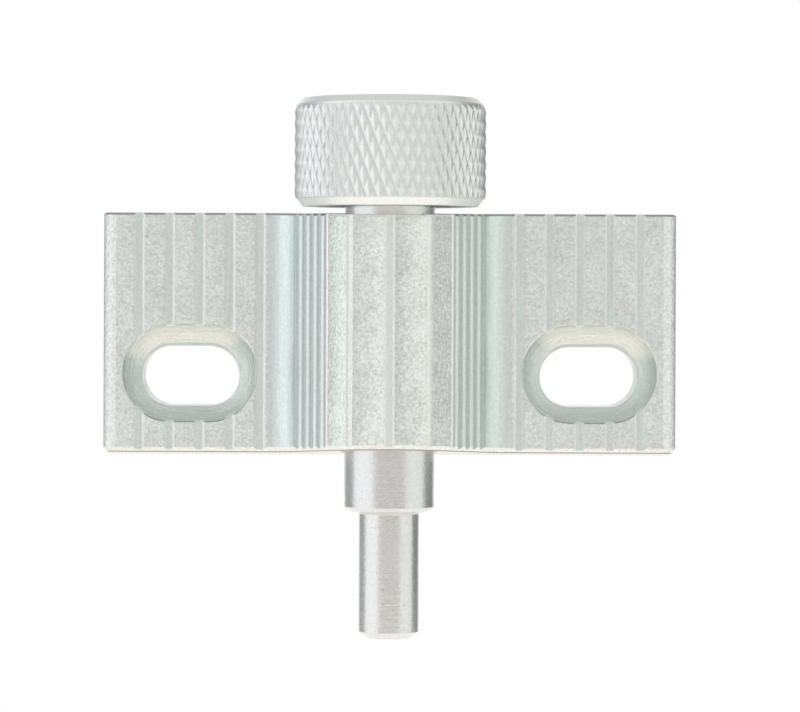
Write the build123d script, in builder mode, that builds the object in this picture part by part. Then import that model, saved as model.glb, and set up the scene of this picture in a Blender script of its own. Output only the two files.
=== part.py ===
# Patio door lock: a fluted housing that screws to the foot of a sliding door, with a stepped
# bolt that a knurled knob lifts out of its hole in the track and turns to park it.
# The mounting face is the plane y = 0 and the front looks towards -Y. Heights are measured from
# the middle of the two screw slots.
import os
from math import asin, atan2, ceil, cos, degrees, hypot, radians, sin, sqrt, tan

from build123d import *

os.makedirs("parts", exist_ok=True)

# Housing, outside
housing_width = 60.9
housing_height = 26.18
slot_above_bottom = 8.63
wing_thickness = 8.0
wing_edge_radius = 1.3
bottom_fall = 0.075  # the sawn ends lean back by this much for each millimetre towards the front
top_fall = 0.03
bottom_chamfer = 0.5
top_chamfer = 0.2

# Housing, boss that carries the bolt
boss_front_radius = 7.85
boss_half_width = 6.7
boss_front_wall = 1.2
cove_start = 12.95
cove_radius = 3.4
cove_turn = 66

# Flutes down the wings and the boss
flute_count = 5
flute_pitch = 3.21
first_flute = 13.75
flute_width = 1.15
flute_depth = 0.25
flute_wall_angle = 50
side_flute_width = 0.85
side_flute_depth = 0.2
side_flute_offset = 4.2

# Rib grooves down the flanks of the boss
rib_groove_count = 5
rib_groove_width = 0.66
rib_groove_depth = 0.2

# Screw slots with their dished seats
slot_spacing = 42.4
slot_width = 6.4
slot_length = 10.45
dish_margin = 2.05
dish_depth = 1.75
dish_rise = 0.35

# Bolt
bolt_diameter = 9.525
nose_diameter = 6.35
shoulder_below_housing = 5.64
nose_length = 13.08
shoulder_chamfer = 0.35
shoulder_cone = 0.35
nose_chamfer = 0.9
nose_chamfer_height = 0.65
stud_diameter = 6.35
stud_length = 7.5
stud_chamfer = 0.5
bore_clearance = 0.05
bore_countersink = 0.3

# Knob
knob_diameter = 20.2
knob_height = 11.35
knob_above_housing = 0.45
knob_door_clearance = 0.7
knob_bottom_chamfer = 0.6
knob_bottom_chamfer_height = 0.8
knob_edge_chamfer = 0.25
knob_edge_chamfer_height = 0.15
knob_shoulder_height = 0.8
knob_shoulder_in = 0.3
knob_top_chamfer = 0.65
stud_fit = 0.02
stud_end_gap = 0.5

# Diamond knurl: two crossing sets of grooves, the same in every sector of the knob
knurl_sectors = 14
knurl_starts_in_sector = 4
knurl_lean = 22
knurl_depth = 0.25
knurl_cross_depth = 0.18
knurl_above_bottom = 0.3
knurl_below_top = 0.05

# Lift-and-turn guide: a dog screw from the back runs in a track cut in the bolt
travel = 12.7
park_angle = 90
dog_diameter = 3.0
dog_height = 11.0
dog_reach = 1.6
track_side_clearance = 0.15
track_floor_clearance = 0.15
screw_diameter = 4.8
screw_sunk = 0.4
screw_end_gap = 0.25
screw_chamfer = 0.4
thread_fit = 0.02
hex_across_flats = 2.4
hex_depth = 2.2

# Friction ring in a groove of the bolt
ring_height = 1.5
ring_below_dog = 16.6
ring_groove_depth = 1.4
ring_groove_clearance = 0.1
ring_clearance = 0.03
ring_edge_chamfer = 0.3

# Worked out from the sizes above
half_width = housing_width / 2
bottom = -slot_above_bottom
top = bottom + housing_height
bolt_radius = bolt_diameter / 2
bore_radius = bolt_radius + bore_clearance
knob_radius = knob_diameter / 2
axis_depth = knob_radius + knob_door_clearance
front_depth = axis_depth + bore_radius + boss_front_wall
boss_side_depth = front_depth - boss_front_radius + sqrt(boss_front_radius**2 - boss_half_width**2)
flank_start = cove_start - cove_radius * sin(radians(cove_turn))
flank_start_depth = wing_thickness + cove_radius * (1 - cos(radians(cove_turn)))
flank_turn = degrees(atan2(boss_side_depth - flank_start_depth, flank_start - boss_half_width))
shoulder = bottom - shoulder_below_housing
nose_tip = shoulder - nose_length
knob_bottom = top + knob_above_housing
track_width = dog_diameter + 2 * track_side_clearance
track_floor = bolt_radius - dog_reach - track_floor_clearance
ring_middle = dog_height - ring_below_dog
ring_groove_floor = bolt_radius - ring_groove_depth
bolt_axis = Axis((0, -axis_depth, 0), (0, 0, 1))


# The sawn ends of the housing, seen from the side
def side_view():
    reach = 2 * front_depth
    with BuildSketch(Plane.YZ) as view:
        with BuildLine():
            Polyline((0, bottom), (-reach, bottom + bottom_fall * reach),
                     (-reach, top - top_fall * reach), (0, top), close=True)
        make_face()
    return view.sketch


# The rims of the lower (0) or upper (-1) end face, without those in the given sides
def end_rims(solid, end, sides):
    hidden = [edge for side in sides for edge in side.edges()]
    return [rim for rim in solid.faces().sort_by(Axis.Z)[end].edges() if rim not in hidden]


# A groove with sloping walls, in a surface whose outside is towards -Y; half of it lies outside
def groove(width, depth):
    spread = 2 * depth / tan(radians(flute_wall_angle))
    Trapezoid(width + spread, 2 * depth, flute_wall_angle)


# Wing: half of the mounting flange, with its flutes and the slotted seat for a screw
with BuildPart() as wing:
    with BuildSketch(Plane.XY.offset(bottom)):
        with Locations((cove_start, 0)):
            Rectangle(half_width - cove_start, wing_thickness, align=(Align.MIN, Align.MAX))
    extrude(amount=housing_height)
    fillet(wing.edges().filter_by(Axis.Z).group_by(Axis.X)[-1].sort_by(Axis.Y)[0], wing_edge_radius)
    extrude(side_view(), amount=half_width, mode=Mode.INTERSECT)
    for end, size in ((0, bottom_chamfer), (-1, top_chamfer)):
        sides = (wing.faces().sort_by(Axis.X)[0], wing.faces().sort_by(Axis.Y)[-1])
        chamfer(end_rims(wing, end, sides), size)

    with BuildSketch(Plane.XY.offset(bottom)):
        with Locations([(first_flute + i * flute_pitch, -wing_thickness) for i in range(flute_count)]):
            groove(flute_width, flute_depth)
    extrude(amount=housing_height, mode=Mode.SUBTRACT)

    # The slot goes straight through
    with BuildSketch(Plane.XZ):
        with Locations((slot_spacing / 2, 0)):
            SlotOverall(slot_length, slot_width)
    extrude(amount=wing_thickness, mode=Mode.SUBTRACT)

    # A ball-shaped dish surrounds the slot: a bowl at each end and a trough between them
    straight = slot_length - slot_width
    slot_edge = slot_width / 2
    rim_radius = slot_edge + dish_margin
    dish_floor = wing_thickness - dish_depth
    ball_height = (rim_radius**2 - slot_edge**2 + wing_thickness**2 - dish_floor**2) / (2 * dish_depth)
    ball_radius = hypot(rim_radius, ball_height - wing_thickness)
    first_end = (slot_spacing / 2 - straight / 2, 0, dish_rise)
    with BuildSketch(Plane(origin=first_end, x_dir=(0, 0, 1), z_dir=(1, 0, 0))) as half_dish:
        with BuildLine():
            RadiusArc((slot_edge, dish_floor), (rim_radius, wing_thickness), -ball_radius)
            Polyline((rim_radius, wing_thickness), (rim_radius, front_depth),
                     (0, front_depth), (0, dish_floor), (slot_edge, dish_floor))
        make_face()
    for end in (0, straight):
        bowl_axis = Axis((first_end[0] + end, 0, dish_rise), (0, 1, 0))
        revolve(half_dish.sketch.moved(Location((end, 0, 0))), axis=bowl_axis, mode=Mode.SUBTRACT)
    trough = half_dish.sketch + half_dish.sketch.mirror(Plane.XY.offset(dish_rise))
    extrude(trough, amount=straight, dir=(1, 0, 0), mode=Mode.SUBTRACT)

# Boss: the fluted and ribbed middle of the housing that carries the bolt
with BuildPart() as boss:
    with BuildSketch(Plane.XY.offset(bottom)):
        with BuildLine():
            Polyline((0, 0), (cove_start, 0), (cove_start, -wing_thickness))
            cove = JernArc((cove_start, -wing_thickness), (-1, 0), cove_radius, cove_turn)
            Line(cove @ 1, (boss_half_width, -boss_side_depth))
            mirror(about=Plane.YZ)
            ThreePointArc((boss_half_width, -boss_side_depth), (0, -front_depth),
                          (-boss_half_width, -boss_side_depth))
        make_face()
    extrude(amount=housing_height)
    extrude(side_view(), amount=half_width, both=True, mode=Mode.INTERSECT)
    for end, size in ((0, bottom_chamfer), (-1, top_chamfer)):
        across = boss.faces().sort_by(Axis.X)
        sides = (across[0], across[-1], boss.faces().sort_by(Axis.Y)[-1])
        chamfer(end_rims(boss, end, sides), size)

    # Flutes on the front of the boss and rib grooves down its flanks
    side_turn = degrees(asin(side_flute_offset / boss_front_radius))
    side_flute_place = front_depth - boss_front_radius * (1 - cos(radians(side_turn)))
    with BuildSketch(Plane.XY.offset(bottom)):
        with Locations((0, -front_depth)):
            groove(flute_width, flute_depth)
        for side in (-1, 1):
            with Locations(Location((side * side_flute_offset, -side_flute_place), side * side_turn)):
                groove(side_flute_width, side_flute_depth)
            for i in range(rib_groove_count):
                share = i / (rib_groove_count - 1)
                across = flank_start + share * (boss_half_width - flank_start)
                deep = flank_start_depth + share * (boss_side_depth - flank_start_depth)
                with Locations(Location((side * across, -deep), side * flank_turn)):
                    groove(rib_groove_width, rib_groove_depth)
    extrude(amount=housing_height, mode=Mode.SUBTRACT)

# Housing: one extruded and machined piece, bored for the bolt and tapped from the back
with BuildPart() as housing:
    add(boss.part)
    add(wing.part)
    add(wing.part.mirror(Plane.YZ))
    bore_bottom = bottom + bottom_fall * axis_depth
    bore_top = top - top_fall * axis_depth
    with BuildSketch(Plane.XZ.offset(axis_depth)):
        with BuildLine():
            Polyline(
                (0, bottom), (bore_radius + bore_countersink + bore_bottom - bottom, bottom),
                (bore_radius, bore_bottom + bore_countersink), (bore_radius, bore_top - bore_countersink),
                (bore_radius + bore_countersink + top - bore_top, top), (0, top), close=True,
            )
        make_face()
    revolve(axis=bolt_axis, mode=Mode.SUBTRACT)
    with BuildSketch(Plane.XZ):
        with Locations((0, dog_height)):
            Circle(screw_diameter / 2)
    extrude(amount=axis_depth, mode=Mode.SUBTRACT)

housing.part.label = "housing"
export_step(housing.part, "parts/housing.step")

# Bolt: turned from one bar, with a stepped nose, a stud for the knob and the guide track
with BuildPart() as bolt:
    stud_radius = stud_diameter / 2
    nose_radius = nose_diameter / 2
    stud_top = knob_bottom + stud_length
    with BuildSketch(Plane.XZ.offset(axis_depth)):
        with BuildLine():
            Polyline(
                (0, stud_top), (stud_radius - stud_chamfer, stud_top), (stud_radius, stud_top - stud_chamfer),
                (stud_radius, knob_bottom), (bolt_radius, knob_bottom),
                (bolt_radius, shoulder + shoulder_chamfer + shoulder_cone),
                (bolt_radius - shoulder_chamfer, shoulder + shoulder_cone), (nose_radius, shoulder),
                (nose_radius, nose_tip + nose_chamfer_height), (nose_radius - nose_chamfer, nose_tip),
                (0, nose_tip), close=True,
            )
        make_face()
    revolve(axis=bolt_axis)

    # The track: a straight run for the lift and a quarter turn at each end of it
    for leg_height in (dog_height, dog_height - travel):
        with BuildSketch(Plane.YZ):
            with Locations((-axis_depth + track_floor, leg_height)):
                Rectangle(bolt_radius, track_width, align=(Align.MIN, Align.CENTER))
        revolve(axis=bolt_axis, revolution_arc=-park_angle, mode=Mode.SUBTRACT)
        with BuildSketch(Plane.YZ.offset(track_floor)):
            with Locations((-axis_depth, leg_height)):
                Circle(track_width / 2)
        extrude(amount=bolt_radius, mode=Mode.SUBTRACT)
    with BuildSketch(Plane.XZ.offset(axis_depth - track_floor)):
        with Locations((0, dog_height - travel / 2)):
            SlotCenterToCenter(travel, track_width, rotation=90)
    extrude(amount=-bolt_radius, mode=Mode.SUBTRACT)

    # The groove for the friction ring
    with BuildSketch(Plane.XZ.offset(axis_depth)):
        with Locations((ring_groove_floor, ring_middle)):
            Rectangle(bolt_radius, ring_height + 2 * ring_groove_clearance, align=(Align.MIN, Align.CENTER))
    revolve(axis=bolt_axis, mode=Mode.SUBTRACT)

bolt.part.label = "bolt"
export_step(bolt.part, "parts/bolt.step")

# One sector of the knob, turned and knurled, with its axis on the Z axis
with BuildPart() as knob_sector:
    knob_top = knob_bottom + knob_height
    lower_edge = knob_bottom + knob_bottom_chamfer_height
    upper_edge = knob_top - knob_top_chamfer
    edge_radius = knob_radius - knob_edge_chamfer
    shoulder_radius = knob_radius - knob_shoulder_in
    socket_radius = stud_diameter / 2 + stud_fit
    socket_top = knob_bottom + stud_length + stud_end_gap
    with BuildSketch(Plane.XZ):
        with BuildLine():
            Polyline(
                (socket_radius, knob_bottom), (edge_radius - knob_bottom_chamfer, knob_bottom),
                (edge_radius, lower_edge), (knob_radius, lower_edge + knob_edge_chamfer_height),
                (knob_radius, upper_edge - knob_shoulder_height), (shoulder_radius, upper_edge),
                (shoulder_radius - knob_top_chamfer, knob_top), (0, knob_top), (0, socket_top),
                (socket_radius, socket_top), close=True,
            )
        make_face()
    revolve(axis=Axis.Z, revolution_arc=360 / knurl_sectors)

    # Each set of V grooves is a toothed outline, twisted as it goes up
    knurl_bottom = knob_bottom + knurl_above_bottom
    knurl_height = knob_top - knurl_below_top - knurl_bottom
    twist = degrees(knurl_height * tan(radians(knurl_lean)) / knob_radius)
    start_angle = 360 / knurl_sectors / knurl_starts_in_sector
    spill = ceil(twist / 2 / start_angle)
    grooves = []
    for turn, depth in ((-twist, knurl_depth), (twist, knurl_cross_depth)):
        teeth = []
        for i in range(-2 * spill, 2 * (knurl_starts_in_sector + spill) + 1):
            reach = knob_radius if i % 2 else knob_radius - depth
            teeth.append(Vector(reach, 0).rotate(Axis.Z, i * start_angle / 2))
        with BuildSketch(Plane.XY.offset(knurl_bottom), mode=Mode.PRIVATE) as outline:
            with BuildLine():
                Polyline(teeth[0] * 2, *teeth, teeth[-1] * 2, close=True)
            make_face()
        twisted = Solid.extrude_linear_with_rotation(
            outline.sketch.face(), (0, 0, knurl_bottom), (0, 0, knurl_height), turn)
        grooves.append(twisted.rotate(Axis.Z, -turn / 2))
    add(grooves, mode=Mode.SUBTRACT)

# Knob: pressed on the stud of the bolt
with BuildPart() as knob:
    with Locations((0, -axis_depth, 0)):
        with PolarLocations(0, knurl_sectors):
            add(knob_sector.part)

knob.part.label = "knob"
export_step(knob.part, "parts/knob.step")

# Guide screw: a set screw in the back of the housing, whose dog runs in the track
with BuildPart() as guide_screw:
    screw_radius = screw_diameter / 2 - thread_fit
    screw_end = axis_depth - bore_radius - screw_end_gap
    dog_end = axis_depth - bolt_radius + dog_reach
    with BuildSketch(Plane.XY.offset(dog_height)):
        with BuildLine():
            Polyline(
                (0, -screw_sunk), (screw_radius - screw_chamfer, -screw_sunk),
                (screw_radius, -screw_sunk - screw_chamfer), (screw_radius, -screw_end),
                (dog_diameter / 2, -screw_end),
                (dog_diameter / 2, -dog_end), (0, -dog_end), close=True,
            )
        make_face()
    revolve(axis=Axis((0, 0, dog_height), (0, 1, 0)))
    with BuildSketch(Plane.XZ.offset(screw_sunk)):
        with Locations((0, dog_height)):
            RegularPolygon(hex_across_flats / 2, 6, major_radius=False)
    extrude(amount=hex_depth, mode=Mode.SUBTRACT)

guide_screw.part.label = "guide_screw"
export_step(guide_screw.part, "parts/guide_screw.step")

# Friction ring: a rubber ring squeezed between its groove and the bore
with BuildPart() as friction_ring:
    ring_inside = ring_groove_floor + ring_clearance
    ring_outside = bore_radius - ring_clearance
    with BuildSketch(Plane.XZ.offset(axis_depth)):
        with Locations((ring_inside, ring_middle)):
            section = Rectangle(ring_outside - ring_inside, ring_height, align=(Align.MIN, Align.CENTER))
        chamfer(section.vertices().group_by(Axis.X)[-1], ring_edge_chamfer)
    revolve(axis=bolt_axis)

friction_ring.part.label = "friction_ring"
export_step(friction_ring.part, "parts/friction_ring.step")
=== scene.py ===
# Patio door lock: a fluted aluminium housing, a stepped steel bolt and a knurled knob, shown
# square on in a white studio. Everything is in metres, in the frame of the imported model.
from math import cos, hypot, radians, sin

import bpy
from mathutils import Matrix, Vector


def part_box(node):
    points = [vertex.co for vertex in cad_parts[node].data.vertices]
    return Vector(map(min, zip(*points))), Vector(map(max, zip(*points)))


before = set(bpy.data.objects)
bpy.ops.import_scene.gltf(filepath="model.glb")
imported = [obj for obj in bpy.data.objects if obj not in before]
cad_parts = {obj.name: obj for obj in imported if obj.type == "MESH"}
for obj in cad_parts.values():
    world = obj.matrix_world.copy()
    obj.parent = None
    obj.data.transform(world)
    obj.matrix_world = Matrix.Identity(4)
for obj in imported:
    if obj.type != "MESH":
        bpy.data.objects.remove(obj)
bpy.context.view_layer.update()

# Housing. One length of aluminium extrusion, sawn off, drilled, milled round its two screw slots
# and then tumbled with stones. Tumbling leaves the raised lands grainy, and the floors of the
# flutes, which the stones can't reach, stay smooth and a little green from the coating.

# Lengths are in millimetres here, and a slope is the X or the Z of a surface's normal
MM = 1000.0
BACK_SKIN = 0.05
WING_FACE = 8.0
BOSS_FACE = 16.81
FLUTE_DEPTH = 0.25
COVE_START = 12.95
BOSS_RADIUS = 7.85
BOSS_HALF_WIDTH = 6.7
BOSS_FLUTE_PITCH = 4.2
OUTER_EDGE = 1.4
OUTER_EDGE_MARGIN = 0.1
BOTTOM = -8.63
BOTTOM_LEAN = 0.075
BOTTOM_SHADE_WIDTH = 0.10
SLOT_CENTRE = 21.2
SLOT_HALF_STRAIGHT = 2.025
DISH_RISE = 0.35
DISH_RIM = 5.25
DISH_MARGIN = 0.05
STROKE_PITCH = 1 / 9
STROKE_DRAW = 0.45
RIB_INNER = (6.7, 13.05)
RIB_OUTER = (9.844, 10.017)
RIB_DEPTH = 0.2
RIB_MARGIN = 0.3
RIM_HIGHLIGHT_RADIUS = DISH_RIM - 0.12
RIM_HIGHLIGHT_WIDTH = 0.22
RIM_HIGHLIGHT_ABOVE = (2.6, 3.6)
SAWN_SLOPE = 0.97
CHAMFER_SLOPES = (0.5, 0.625)
WALL_SLOPES = (0.3, 0.5)
OUTER_SHADE_SLOPES = (0.9316, 0.9842)
GRAIN_SIZE = 0.30
PATCH_SIZE = 2.2
DIE_LINE_PITCH = 0.14
LAND_LIGHT = (0.81, 0.86, 0.815, 1.0)
LAND_DARK = (0.73, 0.735, 0.725, 1.0)
LAND_EDGE_HIGHLIGHT = (0.89, 0.915, 0.89, 1.0)
LAND_LILAC_SHADE = (0.71, 0.72, 0.71, 1.0)
LAND_GREEN_HIGHLIGHT = (0.92, 0.985, 0.93, 1.0)
FLUTE_FLOOR = (0.84, 0.92, 0.875, 1.0)
FLUTE_STREAK = (0.76, 0.82, 0.785, 1.0)
BOSS_FLUTE = (0.91, 0.98, 0.93, 1.0)
DRAWN_LEFT_LIGHT_TINT = (0.81, 0.875, 0.875, 1.0)
DRAWN_RIGHT_LIGHT_TINT = (0.81, 0.90, 0.85, 1.0)
DRAWN_STREAK = (0.73, 0.78, 0.76, 1.0)
RIB_VALLEY_SHADE = (0.55, 0.60, 0.58, 1.0)
DISH_METAL = (0.73, 0.79, 0.75, 1.0)
DISH_FLOOR_REFLECTION = (0.955, 0.955, 0.89, 1.0)
# Bare metal: the colour of really worn edges, also used for painted highlights
BARE_METAL_AND_HIGHLIGHT = (0.98, 0.97, 0.93, 1.0)
SAWN_END = (0.86, 0.865, 0.84, 1.0)
EDGE_SHADE = (0.40, 0.43, 0.41, 1.0)
BOSS_TOP_EDGE_SHADE = (0.80, 0.82, 0.76, 1.0)
BOTTOM_EDGE_SHADE = (0.36, 0.33, 0.29, 1.0)


def add_node(tree, kind, inputs=None, **settings):
    made = tree.nodes.new("ShaderNode" + kind)
    for name, value in settings.items():
        setattr(made, name, value)
    for name, value in (inputs or {}).items():
        socket = made.inputs[name]
        if isinstance(value, bpy.types.NodeSocket):
            tree.links.new(value, socket)
        else:
            socket.default_value = value
    return made


def calculate(tree, operation, first, second=0.0, clamp=False):
    made = add_node(tree, "Math", {0: first, 1: second}, operation=operation, use_clamp=clamp)
    return made.outputs[0]


def scale_and_shift(tree, value, scale, shift, clamp=False):
    inputs = {0: value, 1: scale, 2: shift}
    return add_node(tree, "Math", inputs, operation="MULTIPLY_ADD", use_clamp=clamp).outputs[0]


# A mask that is 0 where the value is at start and 1 where it is at end
def ramp(tree, value, start, end):
    return scale_and_shift(tree, value, 1 / (end - start), -start / (end - start), clamp=True)


# The number low where the mask is 0 and high where it is 1
def between(tree, mask, low, high):
    return scale_and_shift(tree, mask, high - low, low)


def all_of(tree, mask, *others):
    for other in others:
        mask = calculate(tree, "MULTIPLY", mask, other)
    return mask


def opposite(tree, mask):
    return calculate(tree, "SUBTRACT", 1.0, mask)


def distance(tree, first, second):
    squares = [calculate(tree, "MULTIPLY", side, side) for side in (first, second)]
    return calculate(tree, "SQRT", calculate(tree, "ADD", *squares))


def blend_colours(tree, share, first, second, mode="MIX"):
    mixed = add_node(tree, "Mix", {0: share, 6: first, 7: second}, data_type="RGBA", blend_type=mode)
    return mixed.outputs[2]


def shade(tree, colour, tone):
    grey = add_node(tree, "CombineXYZ", {0: tone, 1: tone, 2: tone}).outputs[0]
    return blend_colours(tree, 1.0, colour, grey, "MULTIPLY")


def stretch(tree, place, x, y, z):
    return add_node(tree, "VectorMath", {0: place, 1: (x, y, z)}, operation="MULTIPLY").outputs[0]


# Cloudy noise of a given size, from about 0.3 to 0.7
def noise(tree, place, size, detail, roughness):
    scale = calculate(tree, "DIVIDE", 1.0, size)
    inputs = {"Vector": place, "Scale": scale, "Detail": detail, "Roughness": roughness}
    return add_node(tree, "TexNoise", inputs).outputs["Fac"]


# The same noise drawn out to reach from 0 to 1
def full_contrast(tree, value):
    return scale_and_shift(tree, value, 2.4, -0.7, clamp=True)


def start_group(name, inputs, outputs):
    group = bpy.data.node_groups.new(name, "ShaderNodeTree")
    for title, kind, value in inputs:
        socket = group.interface.new_socket(title, in_out="INPUT", socket_type="NodeSocket" + kind)
        if value is not None:
            socket.default_value = value
    for title, kind in outputs:
        group.interface.new_socket(title, in_out="OUTPUT", socket_type="NodeSocket" + kind)
    return group, group.nodes.new("NodeGroupInput").outputs, group.nodes.new("NodeGroupOutput").inputs


def use_group(tree, group, inputs):
    made = tree.nodes.new("ShaderNodeGroup")
    made.node_tree = group
    for name, value in inputs.items():
        if isinstance(value, bpy.types.NodeSocket):
            tree.links.new(value, made.inputs[name])
        else:
            made.inputs[name].default_value = value
    return made.outputs


def start_metal(name):
    material = bpy.data.materials.new(name)
    material.use_nodes = True
    tree = material.node_tree
    shader = tree.nodes["Principled BSDF"]
    shader.inputs["Metallic"].default_value = 1.0
    place = add_node(tree, "TexCoord").outputs["Object"]
    in_mm = add_node(tree, "VectorMath", {0: place, "Scale": MM}, operation="SCALE").outputs[0]
    return material, tree, shader, in_mm


def finish_node(node_name, material):
    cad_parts[node_name].data.materials.clear()
    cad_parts[node_name].data.materials.append(material)


# Grain left by tumbling: fine pits, broader cloudy patches and a few dark specks
grain_group, given, out = start_group(
    "tumbled grain",
    [("Place", "Vector", None), ("Grain Size", "Float", 0.2), ("Patch Size", "Float", 3.0)],
    [("Grain", "Float"), ("Patches", "Float"), ("Specks", "Float")],
)
fine = noise(grain_group, given["Place"], given["Grain Size"], 3.0, 0.65)
patches = noise(grain_group, given["Place"], given["Patch Size"], 4.0, 0.6)
speck_place = stretch(grain_group, given["Place"], 0.6, 0.6, 1.0)
spots = noise(grain_group, speck_place, 1 / 1.3, 2.0, 0.7)
grain_group.links.new(full_contrast(grain_group, fine), out["Grain"])
grain_group.links.new(full_contrast(grain_group, patches), out["Patches"])
grain_group.links.new(ramp(grain_group, spots, 0.6714, 0.7429), out["Specks"])

# Rounded, rubbed edges: the normal of a small fillet, and a mask of where it is
edge_group, given, out = start_group(
    "rubbed edges",
    [("Radius", "Float", 0.0001)],
    [("Normal", "Vector"), ("Edge", "Float")],
)
bevel = add_node(edge_group, "Bevel", {"Radius": given["Radius"]}, samples=6).outputs[0]
flat = add_node(edge_group, "NewGeometry").outputs["Normal"]
agreement = add_node(edge_group, "VectorMath", {0: bevel, 1: flat}, operation="DOT_PRODUCT")
edge_group.links.new(bevel, out["Normal"])
edge_group.links.new(ramp(edge_group, agreement.outputs["Value"], 1.0, 5 / 6), out["Edge"])

# Fine lines drawn out along Z: die lines on an extrusion
line_group, given, out = start_group(
    "die lines",
    [("Place", "Vector", None), ("Pitch", "Float", 0.1)],
    [("Lines", "Float")],
)
line_place = stretch(line_group, given["Place"], 1.0, 1.0, 0.02)
lines = noise(line_group, line_place, given["Pitch"], 2.0, 0.6)
line_group.links.new(full_contrast(line_group, lines), out["Lines"])

housing_metal, tree, shader, in_mm = start_metal("tumbled aluminium")
grain = use_group(tree, grain_group, {"Place": in_mm, "Grain Size": GRAIN_SIZE, "Patch Size": PATCH_SIZE})
edges = use_group(tree, edge_group, {"Radius": 0.00018})
drawn = use_group(tree, line_group, {"Place": in_mm, "Pitch": DIE_LINE_PITCH})

# Where on the housing a point lies: wing, boss or the flank between them, land or flute
parts = add_node(tree, "SeparateXYZ", {0: in_mm}).outputs
across = calculate(tree, "ABSOLUTE", parts["X"])
in_front = calculate(tree, "LESS_THAN", parts["Y"], -BACK_SKIN)
behind = opposite(tree, in_front)
on_wing = calculate(tree, "MAXIMUM", calculate(tree, "GREATER_THAN", across, COVE_START), behind)
on_boss = all_of(tree, calculate(tree, "LESS_THAN", across, BOSS_HALF_WIDTH), in_front)
on_flank = calculate(tree, "SUBTRACT", opposite(tree, on_wing), on_boss)
half_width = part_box("housing")[1].x * MM
inside_edge = calculate(tree, "LESS_THAN", across, half_width - OUTER_EDGE)
below_wing = ramp(tree, parts["Y"], -WING_FACE, FLUTE_DEPTH - WING_FACE)
from_boss_centre = calculate(tree, "ADD", parts["Y"], BOSS_FACE - BOSS_RADIUS)
boss_reach = distance(tree, across, from_boss_centre)
below_boss = ramp(tree, boss_reach, BOSS_RADIUS, BOSS_RADIUS - FLUTE_DEPTH)
flute_on_wing = all_of(tree, on_wing, inside_edge, below_wing)
flute_on_boss = all_of(tree, on_boss, below_boss)
in_flute = calculate(tree, "ADD", flute_on_wing, flute_on_boss, clamp=True)
smooth = calculate(tree, "ADD", in_flute, on_flank, clamp=True)

# How deep a point lies in the rib grooves, measured from the flat flank of the boss
run = hypot(RIB_OUTER[0] - RIB_INNER[0], RIB_INNER[1] - RIB_OUTER[1])
lean_out = (RIB_INNER[1] - RIB_OUTER[1]) / run
lean_front = (RIB_OUTER[0] - RIB_INNER[0]) / run
above_flank = calculate(tree, "ADD", scale_and_shift(tree, across, lean_out, -lean_out * RIB_OUTER[0]),
                        scale_and_shift(tree, parts["Y"], -lean_front, -lean_front * RIB_OUTER[1]))
near_ribs = calculate(tree, "LESS_THAN", across, RIB_OUTER[0] + RIB_MARGIN)
in_rib_groove = all_of(tree, ramp(tree, above_flank, 0.0, -RIB_DEPTH), near_ribs, on_flank)

# Which way a surface faces: outwards on its side of the lock, up or down
facing = add_node(tree, "SeparateXYZ", {0: add_node(tree, "NewGeometry").outputs["Normal"]}).outputs
outward = all_of(tree, facing["X"], calculate(tree, "SIGN", parts["X"]))
looks_down = ramp(tree, facing["Z"], -CHAMFER_SLOPES[0], -CHAMFER_SLOPES[1])
top_chamfer = all_of(tree, ramp(tree, facing["Z"], *CHAMFER_SLOPES),
                     calculate(tree, "LESS_THAN", facing["Z"], SAWN_SLOPE))
end_face = calculate(tree, "GREATER_THAN", calculate(tree, "ABSOLUTE", facing["Z"]), SAWN_SLOPE)
above_bottom = calculate(tree, "ADD", parts["Z"], scale_and_shift(tree, parts["Y"], BOTTOM_LEAN, -BOTTOM))
shaded_lower_edge = calculate(tree, "LESS_THAN", above_bottom, BOTTOM_SHADE_WIDTH)

# The cutter's strokes follow the rim of each dish
from_slot_centre = calculate(tree, "ABSOLUTE", calculate(tree, "SUBTRACT", across, SLOT_CENTRE))
past_straight = calculate(tree, "SUBTRACT", from_slot_centre, SLOT_HALF_STRAIGHT)
past_straight = calculate(tree, "MAXIMUM", past_straight, 0.0)
above_slot = calculate(tree, "SUBTRACT", parts["Z"], DISH_RISE)
from_slot = distance(tree, past_straight, above_slot)
inside_rim = calculate(tree, "LESS_THAN", from_slot, DISH_RIM - DISH_MARGIN)
in_dish = all_of(tree, inside_rim, calculate(tree, "GREATER_THAN", below_wing, 0.5), in_front)
not_dish = opposite(tree, in_dish)
stroke_place = add_node(tree, "CombineXYZ", {0: all_of(tree, from_slot, 1 / STROKE_PITCH),
                                             1: parts["X"], 2: parts["Z"]}).outputs[0]
strokes = noise(tree, stretch(tree, stroke_place, 1.0, STROKE_DRAW, STROKE_DRAW), 1.0, 3.0, 0.6)

# The two walls of each flute, which the stones have rubbed round
flute_zone = all_of(tree, on_wing, inside_edge, not_dish)
outer_wall = all_of(tree, ramp(tree, outward, *WALL_SLOPES), flute_zone)
inner_wall = all_of(tree, ramp(tree, outward, -WALL_SLOPES[0], -WALL_SLOPES[1]), flute_zone)
boss_wall = all_of(tree, flute_on_boss, opposite(tree, flute_on_boss))
boss_wall = calculate(tree, "MULTIPLY", boss_wall, 4.0, clamp=True)

# Lands: mottled grey on the wings, with a painted highlight on their rounded outer edges. Coarser on
# the boss, with painted shading across each land from darker lilac to brighter green
across_land = scale_and_shift(tree, parts["X"], 1 / BOSS_FLUTE_PITCH, 0.0)
across_land = calculate(tree, "FRACT", across_land)
wing_land = blend_colours(tree, grain["Patches"], LAND_DARK, LAND_LIGHT)
# Painted highlight: the rounded outer edge of each wing is painted lighter
wing_land = blend_colours(tree, inside_edge, LAND_EDGE_HIGHLIGHT, wing_land)
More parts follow.
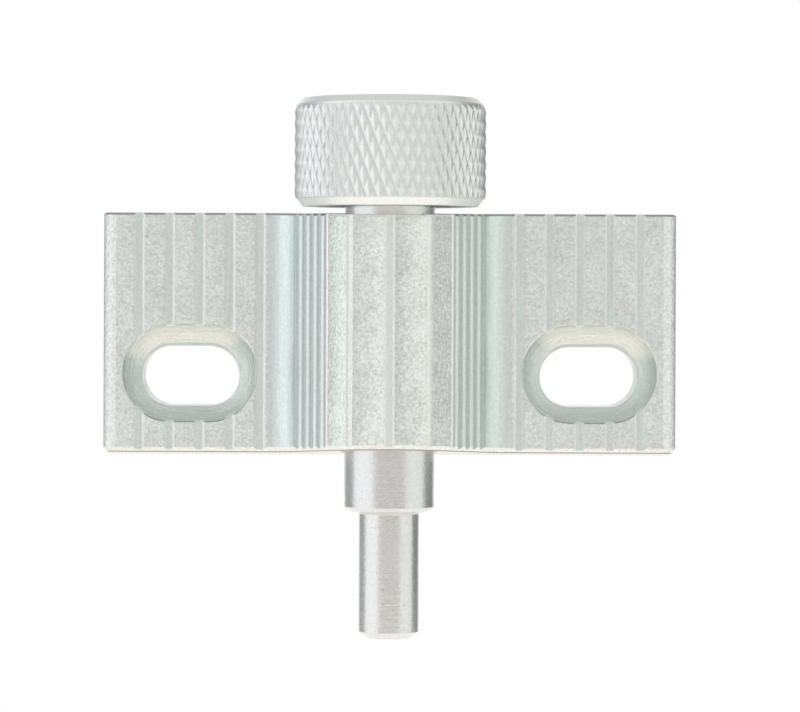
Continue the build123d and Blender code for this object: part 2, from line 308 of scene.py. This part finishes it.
# Painted shading: each boss land runs from darker lilac on one side to brighter green on the other
shaded_boss_land = blend_colours(tree, ramp(tree, across_land, 0.077, 0.846), LAND_LILAC_SHADE, LAND_GREEN_HIGHLIGHT)
shaded_boss_land = shade(tree, shaded_boss_land, between(tree, grain["Patches"], 0.89, 1.07))
land = blend_colours(tree, on_boss, wing_land, shaded_boss_land)
grain_depth = between(tree, on_boss, 0.36, 0.50)
land = shade(tree, land, scale_and_shift(tree, calculate(tree, "SUBTRACT", grain["Grain"], 0.55),
                                         grain_depth, 1.0))
land = blend_colours(tree, all_of(tree, edges["Edge"], 0.5), land, BARE_METAL_AND_HIGHLIGHT)

# Flutes and flanks: drawn metal with faint streaks, with a painted highlight on the outward-facing walls
# of the wing flutes and on both walls of the boss flutes
flute = blend_colours(tree, drawn["Lines"], FLUTE_STREAK, FLUTE_FLOOR)
# Painted highlight on the outward-facing wall of each wing flute
flute = blend_colours(tree, outer_wall, flute, BARE_METAL_AND_HIGHLIGHT)
flute = blend_colours(tree, on_boss, flute, BOSS_FLUTE)
# Painted highlight on both walls of each boss flute
flute = blend_colours(tree, boss_wall, flute, BARE_METAL_AND_HIGHLIGHT)
# Painted light: the left flank is tinted bluish and the right flank greenish, after the light on each
# side
flank = blend_colours(tree, ramp(tree, parts["X"], -10.0, 10.0), DRAWN_LEFT_LIGHT_TINT, DRAWN_RIGHT_LIGHT_TINT)
flank = blend_colours(tree, between(tree, drawn["Lines"], 0.6, 0.0), flank, DRAWN_STREAK)
# Painted shade: the rib grooves are darkened by how deep they lie
flank = blend_colours(tree, in_rib_groove, flank, RIB_VALLEY_SHADE)
clean = blend_colours(tree, on_flank, flute, flank)
clean = shade(tree, clean, between(tree, grain["Grain"], 0.92, 1.08))

# Dishes: grey green below, a painted cream reflection of the floor on the down-facing wall above the
# slot, and a painted highlight along the upper rim
upper_wall = calculate(tree, "SUBTRACT", scale_and_shift(tree, facing["Z"], -6.0, -1.2),
                       calculate(tree, "MAXIMUM", all_of(tree, outward, 3.0), 0.0), clamp=True)
# Painted reflection of the floor, brighter towards the rim
painted_floor_reflection = shade(tree, DISH_FLOOR_REFLECTION, scale_and_shift(tree, from_slot, 0.13, 0.44))
dish = blend_colours(tree, upper_wall, DISH_METAL, painted_floor_reflection)
dish = shade(tree, dish, between(tree, strokes, 0.8, 1.2))
dish = shade(tree, dish, between(tree, grain["Grain"], 0.93, 1.07))
# Painted highlight: a bright line along the upper rim of each dish
from_rim_highlight = scale_and_shift(tree, from_slot, 1 / RIM_HIGHLIGHT_WIDTH, -RIM_HIGHLIGHT_RADIUS / RIM_HIGHLIGHT_WIDTH)
rim_highlight = calculate(tree, "SUBTRACT", 1.0, calculate(tree, "ABSOLUTE", from_rim_highlight), clamp=True)
rim_highlight = all_of(tree, rim_highlight, ramp(tree, above_slot, *RIM_HIGHLIGHT_ABOVE), in_front,
                    scale_and_shift(tree, grain["Grain"], 1.2, 0.2, clamp=True))

# Ends and edges: the sawn faces, a painted highlight on the chamfers that face down, painted shade on
# those that face up, and thin lines of painted shade along the bottom and the outer edges
down_chamfer_highlight = shade(tree, BARE_METAL_AND_HIGHLIGHT, between(tree, grain["Grain"], 0.76, 1.06))
# Painted shade: a thin dark line along the lowest edge of the housing
down_chamfer_highlight = blend_colours(tree, shaded_lower_edge, down_chamfer_highlight, BOTTOM_EDGE_SHADE)
# Painted shade for the chamfers that face up: dark on the wings, lighter on the boss
top_edge_shade = blend_colours(tree, on_boss, EDGE_SHADE, BOSS_TOP_EDGE_SHADE)
# Painted shade: a thin dark line where the rounded outer edge of each wing turns to its side
before_side = calculate(tree, "LESS_THAN", parts["Y"], OUTER_EDGE + OUTER_EDGE_MARGIN - WING_FACE)
at_outer_edge = calculate(tree, "SUBTRACT", before_side, inside_edge, clamp=True)
outer_edge_shade = all_of(tree, ramp(tree, outward, *OUTER_SHADE_SLOPES), at_outer_edge, 0.5)

colour = blend_colours(tree, smooth, land, clean)
colour = blend_colours(tree, in_dish, colour, dish)
colour = blend_colours(tree, rim_highlight, colour, BARE_METAL_AND_HIGHLIGHT)
# Painted highlight: chamfers that face down are painted bright
colour = blend_colours(tree, all_of(tree, looks_down, not_dish), colour, down_chamfer_highlight)
colour = blend_colours(tree, end_face, colour, SAWN_END)
colour = blend_colours(tree, all_of(tree, top_chamfer, not_dish), colour, top_edge_shade)
colour = blend_colours(tree, outer_edge_shade, colour, EDGE_SHADE)
tree.links.new(colour, shader.inputs["Base Color"])

rough_land = between(tree, grain["Grain"], 0.30, 0.40)
rough = add_node(tree, "Mix", {0: smooth, 2: rough_land, 3: 0.36}, data_type="FLOAT").outputs[0]
tree.links.new(rough, shader.inputs["Roughness"])

# Relief: grain on the lands, faint die lines on smooth metal, strokes in the dishes. The walls of
# the flutes look less steep than they are, because the stones have rounded them.
grain_height = all_of(tree, grain["Grain"], between(tree, smooth, 1.0, 0.2))
line_height = all_of(tree, drawn["Lines"], smooth, 0.15)
stroke_height = all_of(tree, strokes, in_dish, 0.5)
height = calculate(tree, "ADD", calculate(tree, "ADD", grain_height, line_height), stroke_height)
rounding = calculate(tree, "ADD", all_of(tree, outer_wall, 0.45), all_of(tree, inner_wall, 0.75))
rounding = calculate(tree, "ADD", rounding, all_of(tree, boss_wall, 0.5))
rounded = add_node(tree, "Mix", {0: rounding, 4: edges["Normal"], 5: (0.0, -1.0, 0.0)},
                   data_type="VECTOR").outputs[1]
rounded = add_node(tree, "VectorMath", {0: rounded}, operation="NORMALIZE").outputs[0]
bump = add_node(tree, "Bump", {"Strength": 0.8, "Distance": 0.00009, "Height": height,
                               "Normal": rounded})
tree.links.new(bump.outputs[0], shader.inputs["Normal"])
finish_node("housing", housing_metal)

# Bolt. Turned from plated steel bar, so fine rings run round it, and handling has left a few
# short nicks and dull spots on it.
BOLT_STEEL = (0.83, 0.825, 0.81, 1.0)
BOLT_SPOT = (0.45, 0.46, 0.50, 1.0)

turning_group, given, out = start_group(
    "turning marks",
    [("Place", "Vector", None), ("Ring Pitch", "Float", 0.1)],
    [("Rings", "Float")],
)
ring_place = stretch(turning_group, given["Place"], 0.06, 0.06, 1.0)
turning_group.links.new(noise(turning_group, ring_place, given["Ring Pitch"], 3.0, 0.6), out["Rings"])

bolt_metal, tree, shader, in_mm = start_metal("turned steel")
marks = use_group(tree, turning_group, {"Place": in_mm, "Ring Pitch": 0.16})
grain = use_group(tree, grain_group, {"Place": in_mm, "Grain Size": 0.45, "Patch Size": 5.0})
edges = use_group(tree, edge_group, {"Radius": 0.00012})
colour = shade(tree, BOLT_STEEL, between(tree, grain["Grain"], 0.93, 1.03))
colour = blend_colours(tree, all_of(tree, grain["Specks"], 0.6), colour, BOLT_SPOT)
tree.links.new(colour, shader.inputs["Base Color"])
tree.links.new(between(tree, grain["Patches"], 0.21, 0.31), shader.inputs["Roughness"])
height = calculate(tree, "ADD", marks["Rings"], all_of(tree, grain["Grain"], 0.8))
bump = add_node(tree, "Bump", {"Strength": 0.5, "Distance": 0.00003, "Height": height,
                               "Normal": edges["Normal"]})
tree.links.new(bump.outputs[0], shader.inputs["Normal"])
finish_node("bolt", bolt_metal)

# Knob. Turned from aluminium bar, with a diamond knurl rolled into its side, and pressed on the
# stud of the bolt. The grooves of its knurl are darkened with painted shade.
KNOB_ALUMINIUM = (0.955, 0.965, 0.945, 1.0)
KNURL_GROOVE_SHADE = (0.81, 0.83, 0.81, 1.0)
KNOB_RADIUS = 10.1
KNURL_BOTTOM = 18.75
KNURL_TOP = 28.5
GROOVE_DEPTH = 0.25
AXIS_Y = (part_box("knob")[0].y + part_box("knob")[1].y) / 2

knob_metal, tree, shader, in_mm = start_metal("knurled aluminium")
marks = use_group(tree, turning_group, {"Place": in_mm, "Ring Pitch": 0.12})
grain = use_group(tree, grain_group, {"Place": in_mm, "Grain Size": 0.25, "Patch Size": 4.0})
edges = use_group(tree, edge_group, {"Radius": 0.0001})
parts = add_node(tree, "SeparateXYZ", {0: in_mm}).outputs
reach = distance(tree, parts["X"], calculate(tree, "ADD", parts["Y"], -AXIS_Y * MM))
on_knurl = all_of(tree, calculate(tree, "GREATER_THAN", parts["Z"], KNURL_BOTTOM),
                  calculate(tree, "LESS_THAN", parts["Z"], KNURL_TOP))
sunk = ramp(tree, reach, KNOB_RADIUS, KNOB_RADIUS - GROOVE_DEPTH)
# Painted shade: the grooves of the knurl are darkened by how deep they lie
colour = blend_colours(tree, all_of(tree, on_knurl, sunk), KNOB_ALUMINIUM, KNURL_GROOVE_SHADE)
colour = shade(tree, colour, between(tree, grain["Grain"], 0.92, 1.02))
tree.links.new(colour, shader.inputs["Base Color"])
tree.links.new(between(tree, marks["Rings"], 0.34, 0.46), shader.inputs["Roughness"])
bump = add_node(tree, "Bump", {"Strength": 0.08, "Distance": 0.00004, "Height": grain["Grain"],
                               "Normal": edges["Normal"]})
tree.links.new(bump.outputs[0], shader.inputs["Normal"])
finish_node("knob", knob_metal)

# Guide screw. A black-oxide steel set screw with a hexagon socket, screwed into the back of the
# housing until its dog stands in the track of the bolt.
screw_metal, tree, shader, in_mm = start_metal("black oxide steel")
grain = use_group(tree, grain_group, {"Place": in_mm, "Grain Size": 0.15, "Patch Size": 1.0})
shader.inputs["Base Color"].default_value = (0.03, 0.03, 0.032, 1.0)
tree.links.new(between(tree, grain["Grain"], 0.35, 0.55), shader.inputs["Roughness"])
finish_node("guide_screw", screw_metal)

# Friction ring. Moulded black rubber, stretched into its groove in the bolt and hidden in the
# bore of the housing.
ring_rubber, tree, shader, in_mm = start_metal("black rubber")
grain = use_group(tree, grain_group, {"Place": in_mm, "Grain Size": 0.1, "Patch Size": 1.0})
shader.inputs["Metallic"].default_value = 0.0
shader.inputs["Base Color"].default_value = (0.02, 0.02, 0.02, 1.0)
tree.links.new(between(tree, grain["Grain"], 0.6, 0.8), shader.inputs["Roughness"])
finish_node("friction_ring", ring_rubber)

# Studio. The lock hangs in the air above a white floor, ringed by big soft panels that only its
# surfaces see: two bright ones at its sides, dimmer ones in front and behind, and a ceiling.
FLOOR_Z = -0.10
FLOOR_HALF_WIDTH = 6.0
FLOOR_WHITENESS = 0.99
WHITE = (1.0, 1.0, 1.0, 1.0)
WARM_WHITE = (1.0, 0.985, 0.945, 1.0)
RING_RADIUS = 0.40
RING_MIDDLE = 0.16
RING_TOP = 0.40
STEP_ANGLE = 4


def glowing(name, colour, strength):
    material = bpy.data.materials.new(name)
    material.use_nodes = True
    tree = material.node_tree
    tree.nodes.clear()
    light = add_node(tree, "Emission", {"Color": colour, "Strength": strength})
    end = add_node(tree, "OutputMaterial")
    tree.links.new(light.outputs[0], end.inputs["Surface"])
    return material


def stage_mesh(name, points, faces, material, seen):
    mesh = bpy.data.meshes.new(name)
    mesh.from_pydata(points, [], faces)
    mesh.materials.append(material)
    piece = bpy.data.objects.new(name, mesh)
    bpy.context.scene.collection.objects.link(piece)
    piece.visible_camera = seen


def square(half, middle_y, z):
    return [(x * half, middle_y + y * half, z) for x, y in ((-1, -1), (1, -1), (1, 1), (-1, 1))]


# A curved panel, from its first to its last angle round the bolt, counted from the front
def wall_panel(name, first, last, low, high, strength, colour):
    steps = round((last - first) / STEP_ANGLE)
    points = []
    for i in range(steps + 1):
        turn = radians(first + (last - first) * i / steps)
        x = RING_RADIUS * sin(turn)
        y = AXIS_Y - RING_RADIUS * cos(turn)
        points += [(x, y, low), (x, y, high)]
    faces = [(2 * i, 2 * i + 2, 2 * i + 3, 2 * i + 1) for i in range(steps)]
    stage_mesh(name, points, faces, glowing(name, colour, strength), False)


wall_panel("front_wall", -40, 42, FLOOR_Z, RING_MIDDLE, 0.635, (1.0, 0.97, 0.945, 1.0))
wall_panel("front_wall_above", -40, 42, RING_MIDDLE, RING_TOP, 0.95, (0.96, 0.99, 1.02, 1.0))
wall_panel("left_softbox", -102, -40, FLOOR_Z, RING_TOP, 1.10, (0.96, 0.995, 1.02, 1.0))
wall_panel("right_softbox", 42, 100, FLOOR_Z, RING_TOP, 0.93, (0.965, 1.0, 0.975, 1.0))
wall_panel("back_left_wall", -150, -102, FLOOR_Z, RING_TOP, 0.41, (0.94, 1.0, 1.02, 1.0))
wall_panel("back_right_wall", 100, 150, FLOOR_Z, RING_TOP, 0.26, (0.94, 1.0, 0.98, 1.0))
stage_mesh("ceiling", square(RING_RADIUS, AXIS_Y, RING_TOP), [(0, 1, 2, 3)],
           glowing("ceiling", (0.96, 1.0, 0.97, 1.0), 0.68), False)

# The floor looks white to the eye and in reflections, and can't be seen from below
floor_paint = bpy.data.materials.new("white floor")
floor_paint.use_nodes = True
tree = floor_paint.node_tree
shader = tree.nodes["Principled BSDF"]
shader.inputs["Base Color"].default_value = (0.9, 0.9, 0.89, 1.0)
shader.inputs["Roughness"].default_value = 0.8
rays = add_node(tree, "LightPath").outputs
reflected = calculate(tree, "MAXIMUM", rays["Is Glossy Ray"], rays["Is Transmission Ray"])
seen = calculate(tree, "MAXIMUM", rays["Is Camera Ray"], reflected)
white = add_node(tree, "Emission", {"Color": blend_colours(tree, reflected, WHITE, WARM_WHITE),
                                    "Strength": between(tree, reflected, 1.0, 1.08)})
mixed = add_node(tree, "MixShader", {0: all_of(tree, seen, FLOOR_WHITENESS), 1: shader.outputs[0],
                                     2: white.outputs[0]})
one_sided = add_node(tree, "MixShader", {0: add_node(tree, "NewGeometry").outputs["Backfacing"],
                                         1: mixed.outputs[0],
                                         2: add_node(tree, "BsdfTransparent").outputs[0]})
tree.links.new(one_sided.outputs[0], tree.nodes["Material Output"].inputs["Surface"])
stage_mesh("floor", square(FLOOR_HALF_WIDTH, 0.0, FLOOR_Z), [(0, 1, 2, 3)], floor_paint, True)

world = bpy.data.worlds.new("white studio")
world.use_nodes = True
world.node_tree.nodes["Background"].inputs["Color"].default_value = WHITE
world.node_tree.nodes["Background"].inputs["Strength"].default_value = 1.0
bpy.context.scene.world = world

# Camera. Straight in front of the lock and a little above its middle, with a long lens. It is
# turned a little about its own axis, because the photograph isn't quite level.
CAMERA_DISTANCE = 0.3686
CAMERA_X = 0.0001
EYE_LEVEL = 0.00922
ROLL = -0.23

camera_data = bpy.data.cameras.new("camera")
camera_data.sensor_width = 36.0
camera_data.lens = 157.5
camera_data.shift_x = 0.0115
camera_data.shift_y = -0.0825
camera_data.clip_start = 0.01
camera = bpy.data.objects.new("camera", camera_data)
camera.location = (CAMERA_X, AXIS_Y - CAMERA_DISTANCE, EYE_LEVEL)
camera.rotation_euler = (radians(90), radians(ROLL), 0)
bpy.context.scene.collection.objects.link(camera)
bpy.context.scene.camera = camera
bpy.context.scene.view_settings.view_transform = "Standard"
